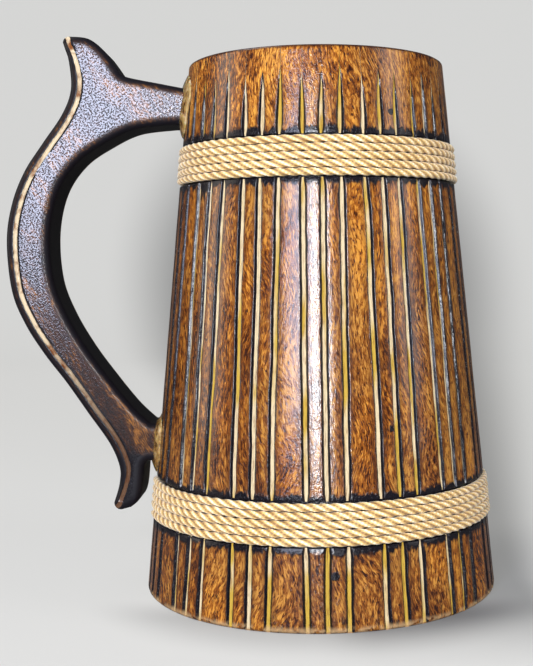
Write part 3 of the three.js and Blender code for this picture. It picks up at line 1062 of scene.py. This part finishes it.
def rope_mesh(name, middle, body, rope, sides=27, steps_per_lay=12):
    """A band of rope in one piece: its three-strand outline twisted along its route."""
    samples, thinning, fibre_spacing = 4001, 0.02, 2.2
    coarse = rope_route(np.linspace(0, 1, samples), middle, body, rope)
    travelled = np.concatenate([[0], np.cumsum(np.linalg.norm(np.diff(coarse, axis=0), axis=1))])
    steps = int(travelled[-1] / rope.lay * steps_per_lay)
    along = np.linspace(0, travelled[-1], steps)
    path = np.stack([np.interp(along, travelled, coarse[:, k]) for k in range(3)], 1)
    tangent = np.gradient(path, axis=0)
    tangent /= np.linalg.norm(tangent, axis=1, keepdims=True)
    outward = path * (1, 1, 0)
    outward -= tangent * (outward * tangent).sum(1, keepdims=True)
    outward /= np.linalg.norm(outward, axis=1, keepdims=True)
    upward = np.cross(outward, tangent)
    upward *= np.sign(upward[:, 2:3])
    slack = 0.35 * Wander(int(middle), 60.0)(along)
    twist = slack - math.tau * along / rope.lay
    turn = np.arange(sides) * math.tau / sides
    relative = turn[None, :] - twist[:, None]
    reach, crown = strand_radius(relative, rope.pitch * 1.01)
    reach = reach * (1.0 + thinning * Wander(int(middle) + 1, 7.0)(along)[:, None])
    points = (
        path[:, None] + outward[:, None] * (reach * np.cos(turn))[..., None]
        + upward[:, None] * (reach * np.sin(turn))[..., None]
    )
    faces = grid_faces(steps, sides, wrap_columns=True)
    faces += [tuple(range(sides)), tuple(range((steps - 1) * sides, steps * sides))]
    mesh = new_mesh(name, points.reshape(-1, 3), faces, 75.0)
    lengths = np.repeat(along[:, None], sides, 1)
    place = np.stack([lengths, relative * fibre_spacing, np.zeros_like(relative)], -1)
    store(mesh, "strand_place", place.reshape(-1, 3))
    store(mesh, "strand_crown", crown.ravel())
    return mesh


class MUG_OT_ropes(bpy.types.Operator):
    """Make the two bands of laid rope"""

    bl_idname = "mug.ropes"
    bl_label = "Rope bands"

    def execute(self, context):
        body, rope = body_sizes(), rope_sizes()
        material = rope_material(context.scene.mug_colours)
        for place, middle in (("upper", rope.upper_height), ("lower", rope.lower_height)):
            mesh = rope_mesh(f"laid_rope_{place}", middle, body, rope)
            new_piece(mesh.name, mesh, material, f"{place}_rope_band")
        return {"FINISHED"}


# ---------------------------------------------------------------- handle


class Outline:
    """The handle's outline in x and z, with the stretch that carries the carved line marked."""

    def __init__(self, body):
        self.body = body
        self.points, self.marks, self.marked = [], [], False

    def places_from(self, foot):
        """Gives places by how far they reach out from the body and how far above a foot they are."""

        def place(reach, rise):
            return np.array([-body_radius(self.body, foot + rise) - reach, foot + rise])

        return place

    def add(self, point):
        self.points.append(np.asarray(point, float))
        self.marks.append(self.marked)

    def line(self, point, step=1.3):
        start = self.points[-1]
        count = max(1, round(float(np.linalg.norm(point - start)) / step))
        for k in range(1, count + 1):
            self.add(start + (point - start) * k / count)

    def spline(self, points, step=1.3):
        """A curve through the last point and these points, with half the chord as its slopes."""
        knots = [self.points[-1]] + list(points)
        for k in range(len(knots) - 1):
            before, start = knots[max(k - 1, 0)], knots[k]
            end, after = knots[k + 1], knots[min(k + 2, len(knots) - 1)]
            leave, arrive = (end - before) / 2, (after - start) / 2
            count = max(2, round(float(np.linalg.norm(end - start)) / step))
            for t in (j / count for j in range(1, count + 1)):
                self.add(
                    (2 * t**3 - 3 * t**2 + 1) * start + (t**3 - 2 * t**2 + t) * leave
                    + (3 * t**2 - 2 * t**3) * end + (t**3 - t**2) * arrive
                )

    def tip(self, centre, radius, start, end, count=9):
        for k in range(count):
            turn = start + (end - start) * k / (count - 1)
            self.add(centre + radius * np.array([math.cos(turn), math.sin(turn)]))


def handle_outline(body, handle):
    """The sawn outline of the handle, and which of its points the carved line follows."""
    draw = Outline(body)
    upper, lower = draw.places_from(handle.upper_foot), draw.places_from(handle.lower_foot)
    draw.add(upper(-6, -5.5))
    draw.line(upper(4, -5.5))
    draw.spline([
        upper(16.5, -7), upper(26, -11.5), upper(35, -18), upper(41, -28), upper(42.8, -42),
        lower(40.4, 57), lower(35, 45), lower(27, 33), lower(18, 22), lower(9.5, 12.5), lower(3, 6.8),
    ])
    draw.line(lower(-6, 6))
    draw.line(lower(-6, -6))
    draw.line(lower(2.8, -6))
    draw.spline([lower(4.0, -7.4), lower(4.1, -12), lower(4.2, -16), lower(5.0, -19.6), lower(7.6, -22)])
    draw.tip(lower(11.1, -20.4), 2.4, -math.pi * 0.45, -math.pi)
    draw.marked = True
    draw.spline([
        lower(12.2, -14), lower(12.6, -8), lower(16.6, 0), lower(24.8, 10.5), lower(33, 21),
        lower(41.5, 31), lower(49, 41.5), lower(54.5, 53), upper(57.6, -45), upper(56.8, -32),
        upper(53.4, -21), upper(48, -11.5), upper(42, -1.5), upper(39.6, 7), upper(41, 16.5),
        upper(42.6, 20.8),
    ])
    draw.marked = False
    draw.tip(upper(41.4, 23.2), 2.2, math.pi, math.pi / 2)
    draw.spline([upper(35, 24.6), upper(29.2, 20.4), upper(24, 14)])
    draw.spline([upper(21.2, 11.4), upper(9, 8.8), upper(0, 7)])
    draw.line(upper(-6, 7))
    points, marks = [draw.points[0]], [draw.marks[0]]
    for point, mark in zip(draw.points[1:], draw.marks[1:]):
        if np.linalg.norm(point - points[-1]) > 0.3:
            points.append(point)
            marks.append(mark)
    return np.array(points), np.array(marks)


def distance_to(places, starts, ends):
    """The distance in the plane from each place to the nearest of the segments."""
    along = ends - starts
    span = (along**2).sum(1)
    best = np.full(len(places), np.inf)
    for start, step, square in zip(starts, along, span):
        away = places - start
        share = np.clip(away @ step / square, 0.0, 1.0)
        best = np.minimum(best, np.linalg.norm(away - share[:, None] * step, axis=1))
    return best


def inward_room(points, normals, farthest=9.0, step=0.1):
    """How far each point can move inwards before another part of the outline is nearer."""
    room = np.full(len(points), farthest)
    still = np.ones(len(points), bool)
    ends = np.roll(points, -1, axis=0)
    for reach in np.arange(step, farthest, step):
        near = distance_to(points + normals * reach, points, ends)
        stopped = still & (near < reach - 0.02)
        room[stopped] = reach - step
        still &= ~stopped
    room = np.minimum.reduce([np.roll(room, shift) + 0.35 * abs(shift) for shift in (-2, -1, 0, 1, 2)])
    return np.maximum(room, 0.05)


def handle_face(outline, handle):
    """Rings of points from the outline inwards, close together on the rounding and the line."""
    normals = inward_normals(outline)
    room = inward_room(outline, normals)
    edge, inset, half = handle.edge_round, handle.bead_inset, handle.bead_breadth / 2
    levels = [edge * (1 - math.cos(math.radians(t))) for t in (0, 20, 40, 55, 70, 90)]
    levels += [inset + half * share for share in (-1.0, -0.7, -0.35, 0.0, 0.35, 0.7, 1.0)]
    levels += [inset + half + 0.7]
    rings = []
    for level in levels:
        ratio = level / room
        eased = room * (0.5 + 0.40 * np.tanh((ratio - 0.5) / 0.40))
        rings.append(outline + normals * np.where(ratio < 0.5, level, eased)[:, None])
    return rings


def inward_normals(outline):
    """The direction into the board at each point of its outline."""
    ahead, behind = np.roll(outline, -1, axis=0), np.roll(outline, 1, axis=0)
    chord = (ahead - behind) / np.linalg.norm(ahead - behind, axis=1, keepdims=True)
    area = 0.5 * np.sum(outline[:, 0] * ahead[:, 1] - ahead[:, 0] * outline[:, 1])
    return np.stack([-chord[:, 1], chord[:, 0]], 1) * math.copysign(1.0, area)


def line_offset(places, outline, marks, handle):
    """How far each place is beyond the line carved along the outer edge.

    The line draws nearer the edge at its two ends."""
    marked = np.nonzero(marks)[0]
    edge = outline[marked[0]:marked[-1] + 3]
    ends = np.minimum(places[:, 1] - edge[:, 1].min(), edge[:, 1].max() - places[:, 1])
    inset = handle.bead_inset * (0.65 + 0.35 * smoothstep(0.0, 14.0, ends))
    return distance_to(places, edge[:-1], edge[1:]) - inset


def handle_drop(places, outline, marks, handle):
    """How far the board's face is cut down at each place, and how far the place is from the
    outline and beyond the carved line."""
    ends = np.roll(outline, -1, axis=0)
    edge_away = distance_to(places, outline, ends)
    offset = line_offset(places, outline, marks, handle)
    inside = np.clip(handle.edge_round - edge_away, 0.0, handle.edge_round)
    drop = handle.edge_round - np.sqrt(handle.edge_round**2 - inside**2)
    hollow = 1.0 - smoothstep(0.15, 1.0, np.abs(offset) / (handle.bead_breadth / 2))
    return drop + handle.bead_depth * hollow * smoothstep(0.2, 1.4, edge_away), edge_away, offset


def fill_inside(ring, spacing=1.1):
    """Triangles inside a closed ring, with extra points on a loose grid."""
    low, high = ring.min(0), ring.max(0)
    draw = random.Random(31)
    ends = np.roll(ring, -1, axis=0)
    grid = np.array([
        (x + draw.uniform(-0.2, 0.2), z + draw.uniform(-0.2, 0.2))
        for x in np.arange(low[0], high[0], spacing)
        for z in np.arange(low[1], high[1], spacing)
    ])
    crossings = np.zeros(len(grid), int)
    for (x0, z0), (x1, z1) in zip(ring, ends):
        straddles = (z0 > grid[:, 1]) != (z1 > grid[:, 1])
        with np.errstate(divide="ignore", invalid="ignore"):
            at = x0 + (grid[:, 1] - z0) / (z1 - z0) * (x1 - x0)
        crossings += straddles & (grid[:, 0] < at)
    grid = grid[(crossings % 2 == 1) & (distance_to(grid, ring, ends) > 0.6)]
    places = [Vector(p) for p in np.concatenate([ring, grid])]
    border = [(k, (k + 1) % len(ring)) for k in range(len(ring))]
    found, _, faces, _, _, _ = geometry.delaunay_2d_cdt(places, border, [], 1, 1e-5)
    if len(found) != len(places):
        raise ValueError("the inside of the handle's face crosses itself")
    return grid, [tuple(face) for face in faces]


def handle_mesh(body, handle):
    """The board of the handle, rounded and carved on both faces, before it is cut to the body."""
    outline, marks = handle_outline(body, handle)
    rings = handle_face(outline, handle)
    grid, inside = fill_inside(rings[-1])
    count = len(outline)
    flat = np.concatenate(rings + [grid])
    drop, _, _ = handle_drop(flat, outline, marks, handle)
    half = handle.thickness / 2
    drop[:count] = handle.edge_round
    near = np.stack([flat[:, 0], drop - half, flat[:, 1]], 1)
    far = near * (1, -1, 1)
    walls = [
        np.stack([outline[:, 0], np.full(count, depth), outline[:, 1]], 1)
        for depth in np.linspace(-(half - handle.edge_round), half - handle.edge_round, 8)[1:-1]
    ]
    total = len(flat)
    points = np.concatenate([near, far] + walls)
    base = (len(rings) - 1) * count
    face_faces = grid_faces(len(rings), count, wrap_columns=True)
    face_faces += [tuple(base + k for k in face) for face in inside]
    faces = face_faces + [tuple(total + k for k in face) for face in face_faces]
    rows = [list(range(count))]
    rows += [list(range(2 * total + k * count, 2 * total + (k + 1) * count)) for k in range(len(walls))]
    rows.append(list(range(total, total + count)))
    for first, second in zip(rows, rows[1:]):
        for k in range(count):
            after = (k + 1) % count
            faces.append((first[k], first[after], second[after], second[k]))
    return new_mesh("carved_handle", points, faces), outline, marks


class MUG_OT_handle(bpy.types.Operator):
    """Make the sawn and carved handle"""

    bl_idname = "mug.handle"
    bl_label = "Handle"

    def execute(self, context):
        body, handle = body_sizes(), handle_sizes()
        mesh, outline, marks = handle_mesh(body, handle)
        material = handle_material(context.scene.mug_colours, handle)
        piece = new_piece("carved_handle", mesh, material, "handle")
        beyond = 20.0
        low, high = -beyond, body.height + beyond
        cone = [(body_radius(body, height) + handle.cope_gap, height) for height in (low, high)]
        cope = lathe("cope", [(0.0, low)] + cone + [(0.0, high)], 180)
        cut_away(piece, [cope] + dowel_holes(body, handle))
        finish_shading(piece.data, 40.0)
        places = points_of(piece.data)
        flat = places[:, [0, 2]]
        _, edge_away, offset = handle_drop(flat, outline, marks, handle)
        lean = math.radians(32.0)
        along = -flat[:, 0] * math.sin(lean) + flat[:, 1] * math.cos(lean)
        across = flat[:, 0] * math.cos(lean) + flat[:, 1] * math.sin(lean)
        store(piece.data, "grain_place", np.stack([across, places[:, 1], along], 1))
        store(piece.data, "edge_distance", edge_away)
        store(piece.data, "line_offset", offset)
        depth = handle.thickness / 2 - handle.edge_round * 0.6
        store(piece.data, "side_share", (np.abs(places[:, 1]) < depth) & (edge_away < 0.6))
        back_side = smoothstep(6.9, 8.3, places[:, 1])
        corner = 1.0 - smoothstep(0.7, 1.6, edge_away)
        inner_side = smoothstep(2.0, 4.0, offset)
        store(piece.data, "back_edge", back_side * corner * inner_side)
        return {"FINISHED"}


class MUG_OT_dowels(bpy.types.Operator):
    """Give the two dowels their bare wood"""

    bl_idname = "mug.dowels"
    bl_label = "Dowels"

    def execute(self, context):
        material = plain_wood_material("dowel_wood", context.scene.mug_colours, along_x=True)
        for place in ("upper", "lower"):
            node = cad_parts[f"{place}_dowel"]
            for slot in node.material_slots:
                slot.material = material
        return {"FINISHED"}


# ---------------------------------------------------------------- glue


GLUE_COLLARS = {
    "upper": {"low": -5.5, "high": 7.0, "spread": 5.6, "ends": 1.6, "climb": 1.5, "sag": 2.4, "seed": 41},
    "lower": {"low": -5.6, "high": 6.4, "spread": 6.0, "ends": 1.0, "climb": 1.7, "sag": 0.0, "seed": 53},
}


def glue_mesh(name, body, handle, foot, low, high, spread, ends, climb, sag, seed):
    """A collar of squeezed-out glue round one foot of the handle.

    low and high bound the foot below and above its middle, spread is how far the glue goes round the
    body on each side, ends how far above and below, climb how far it goes up the handle, and sag how
    much more it hangs below."""
    stations, steps, roundness = 96, 11, 1.55
    width = handle.thickness / 2
    turn = np.arange(stations) * math.tau / stations
    middle = (high + low) / 2
    rise = (high - low) / 2
    squareness, lift, gap = 5.0, 0.25, 0.08
    squared = np.abs(np.cos(turn) / width) ** squareness + np.abs(np.sin(turn) / rise) ** squareness
    reach = squared ** (-1 / squareness)
    rim = np.stack([reach * np.cos(turn), reach * np.sin(turn) + middle], 1)
    chord = np.roll(rim, -1, axis=0) - np.roll(rim, 1, axis=0)
    outward = np.stack([chord[:, 1], -chord[:, 0]], 1) / np.linalg.norm(chord, axis=1, keepdims=True)
    waves = 1.0 + 0.28 * Wander(seed, 2.6)(turn)
    below = np.clip(-np.sin(turn), 0.0, 1.0) ** 1.5
    over = (ends + (spread - ends) * np.abs(np.cos(turn)) ** 2.2) * waves + sag * below
    up = climb * (1.0 + 0.30 * Wander(seed + 1, 2.1)(turn))
    over[-1] = 0.5 * (over[0] + over[-2])
    up[-1] = 0.5 * (up[0] + up[-2])
    shares = np.linspace(0.0, math.pi / 2, steps)
    away = np.cos(shares) ** roundness
    tall = np.sin(shares) ** roundness
    flat_away = np.concatenate([away, [0.02, 0.33, 0.66]])
    flat_tall = np.concatenate([tall, [0.0, 0.0, 0.0]])
    rows = len(flat_away)
    sideways = rim[:, None] + outward[:, None] * (over[:, None] * flat_away)[..., None]
    height = foot + sideways[..., 1]
    radius = body_radius(body, height) + gap
    across = np.clip(sideways[..., 0], -0.97 * radius, 0.97 * radius)
    skin = (flat_away > 0) * (flat_tall > 0)
    x = -np.sqrt(radius**2 - across**2) - up[:, None] * flat_tall - lift * skin
    points = np.stack([x, across, height], -1)
    bulge = lumps(points.reshape(-1, 3), 3.2, seed).reshape(stations, rows)
    bulge_size = 0.22
    amount = bulge_size * np.sin(shares * 2) ** 0.8
    points[:, :steps, 0] -= np.clip(bulge[:, :steps] + 0.25, 0, None) * amount
    faces = grid_faces(stations, rows, wrap_rows=True, wrap_columns=True)
    return new_mesh(name, points.reshape(-1, 3), faces, 80.0)


class MUG_OT_glue(bpy.types.Operator):
    """Make the collars of glue round the handle's feet"""

    bl_idname = "mug.glue"
    bl_label = "Glue"

    def execute(self, context):
        body, handle = body_sizes(), handle_sizes()
        material = glue_material(context.scene.mug_colours)
        for place, foot in (("upper", handle.upper_foot), ("lower", handle.lower_foot)):
            mesh = glue_mesh(f"glue_collar_{place}", body, handle, foot, **GLUE_COLLARS[place])
            new_piece(mesh.name, mesh, material, f"{place}_glue_fillet")
        return {"FINISHED"}


# ---------------------------------------------------------------- stage


# name, place, aim, width, height, power and tint of each light, in metres and watts
LIGHTS = (
    ("front_softbox", (-0.02, -0.90, 0.22), (0.0, 0.0, 0.12), 0.10, 0.34, 10.0, (0.94, 0.96, 1.0)),
    ("left_window", (-0.27, -0.92, 0.28), (-0.05, 0.0, 0.13), 0.26, 0.38, 6.6, (0.71, 0.77, 1.0)),
    ("right_window", (0.85, -0.35, 0.45), (0.0, 0.0, 0.10), 0.35, 0.8, 3.6, (1.0, 1.0, 1.0)),
    ("overhead", (-0.55, 0.0, 1.1), (0.0, 0.0, 0.0), 0.45, 0.45, 3.6, (1.0, 1.0, 1.0)),
    ("left_fill", (-1.0, -0.1, 0.4), (0.0, 0.0, 0.1), 0.4, 0.8, 4.4, (1.0, 0.92, 0.80)),
)


def area_light(name, place, aim, width, height, power, tint):
    """A soft rectangular light that points at its aim."""
    light = bpy.data.lights.new(name, "AREA")
    light.shape = "RECTANGLE"
    light.size, light.size_y = width, height
    light.energy = power
    light.color = tint
    holder = bpy.data.objects.new(name, light)
    holder.location = place
    holder.rotation_euler = (Vector(aim) - Vector(place)).to_track_quat("-Z", "Y").to_euler()
    bpy.context.scene.collection.objects.link(holder)


def paper_sweep(material):
    """A paper floor that bends up into a wall all round."""
    flat, bend, top, thickness = 1000.0, 600.0, 1500.0, 40.0
    profile = [(0.0, 0.0), (0.6 * flat, 0.0), (flat, 0.0)]
    for k in range(1, 13):
        turn = k / 12 * math.pi / 2
        profile.append((flat + bend * math.sin(turn), bend * (1 - math.cos(turn))))
    wall = flat + bend
    profile += [(wall, top), (wall + thickness, top), (wall + thickness, -thickness), (0.0, -thickness)]
    mesh = lathe("paper_sweep", profile, 96)
    mesh.materials.append(material)
    sweep = bpy.data.objects.new("paper_sweep", mesh)
    bpy.context.scene.collection.objects.link(sweep)


def paper_material(floor):
    """White paper that glows to the camera, with a painted contact shadow in front of where the mug
    stands, a painted shadow behind it, and painted shade that darkens it slightly towards the front.
    """
    material, bench, shader = new_material("sweep_paper")
    seen = bench.read("Is Camera Ray", "LightPath")
    x, y, z = bench.parts(bench.read("Position", "NewGeometry"))
    front = bench.ease(y, -0.1, -0.02)
    # painted contact shadow on the paper just in front of the mug's foot
    painted_contact_shadow = bench.ease(bench.distance(x, y), 0.058, 0.085, 0.4, 0.0)
    painted_contact_shadow = painted_contact_shadow * bench.ease(y, -0.045, -0.02, 1.0, 0.0)
    # painted soft shadow behind the mug, fanning out over the floor and up the wall
    y = bench.most(y, 0.0)
    aside = (x - (0.042 - y * 0.032)) / (0.05 + y * 0.235)
    above = (z - 0.05) / 0.45
    shade = bench.ease(bench.distance(aside, above), 0.5, 0.92, 0.66, 0.0)
    # the painted shadows come off the glow, and the paper is also painted slightly darker towards the
    # front
    glow = (1.0 - front * shade - painted_contact_shadow) * bench.ease(y, 0.2, 0.9, 0.93, 1.0)
    dress(bench, shader, {
        "Base Color": floor, "Roughness": 0.95, "Specular IOR Level": 0.0,
        "Emission Color": (0.66, 0.66, 0.645), "Emission Strength": seen * (glow * 0.88),
    })
    return material


def studio_camera():
    """A camera in front of the mug, shifted so that upright lines stay upright."""
    lens = bpy.data.cameras.new("studio_camera")
    lens.sensor_width = 36.0
    lens.lens = 61.46
    lens.shift_x = -0.0771
    lens.shift_y = -0.1003
    lens.clip_start = 0.01
    camera = bpy.data.objects.new("studio_camera", lens)
    place, roll = (0.0, -0.3999, 0.1103), -0.0108
    level = Matrix.Rotation(math.radians(90.0), 4, "X")
    camera.matrix_world = Matrix.Translation(place) @ level @ Matrix.Rotation(roll, 4, "Z")
    bpy.context.scene.collection.objects.link(camera)
    return camera


class MUG_OT_stage(bpy.types.Operator):
    """Make the paper sweep, the lights and the camera"""

    bl_idname = "mug.stage"
    bl_label = "Stage"

    def execute(self, context):
        scene = context.scene
        paper_sweep(paper_material(scene.mug_colours.floor))
        scene.world = bpy.data.worlds.new("studio_air")
        scene.world.use_nodes = True
        air = scene.world.node_tree.nodes["Background"]
        air.inputs["Color"].default_value = (0.95, 0.97, 1.0, 1.0)
        air.inputs["Strength"].default_value = 0.12
        for light in LIGHTS:
            area_light(*light)
        scene.camera = studio_camera()
        scene.view_settings.view_transform = "Standard"
        return {"FINISHED"}


# ---------------------------------------------------------------- panel and registration


PIECE_OPERATORS = (
    MUG_OT_stage, MUG_OT_staves, MUG_OT_bottom, MUG_OT_liner, MUG_OT_ropes, MUG_OT_handle, MUG_OT_dowels,
    MUG_OT_glue,
)
PROPERTY_GROUPS = {
    "mug_body": MugBodySizes, "mug_rope": MugRopeSizes, "mug_handle": MugHandleSizes,
    "mug_colours": MugColours,
}


class MUG_PT_pieces(bpy.types.Panel):
    """The mug's pieces, sizes and colours"""

    bl_idname = "MUG_PT_pieces"
    bl_label = "Wooden Mug"
    bl_space_type = "VIEW_3D"
    bl_region_type = "UI"
    bl_category = "Mug"

    def draw(self, context):
        for operator in PIECE_OPERATORS:
            self.layout.operator(operator.bl_idname)
        for name, group in PROPERTY_GROUPS.items():
            column = self.layout.box().column()
            for field in group.__annotations__:
                column.prop(getattr(context.scene, name), field)


def register():
    for group in PROPERTY_GROUPS.values():
        bpy.utils.register_class(group)
    for name, group in PROPERTY_GROUPS.items():
        setattr(bpy.types.Scene, name, PointerProperty(type=group))
    for operator in PIECE_OPERATORS:
        bpy.utils.register_class(operator)
    bpy.utils.register_class(MUG_PT_pieces)


def unregister():
    bpy.utils.unregister_class(MUG_PT_pieces)
    for operator in reversed(PIECE_OPERATORS):
        bpy.utils.unregister_class(operator)
    for name in PROPERTY_GROUPS:
        delattr(bpy.types.Scene, name)
    for group in reversed(PROPERTY_GROUPS.values()):
        bpy.utils.unregister_class(group)


def main():
    register()
    wood_figure_group()
    scorch_group()
    lacquer_group()
    for operator in PIECE_OPERATORS:
        category, name = operator.bl_idname.split(".")
        getattr(getattr(bpy.ops, category), name)()


if __name__ == "__main__":
    main()
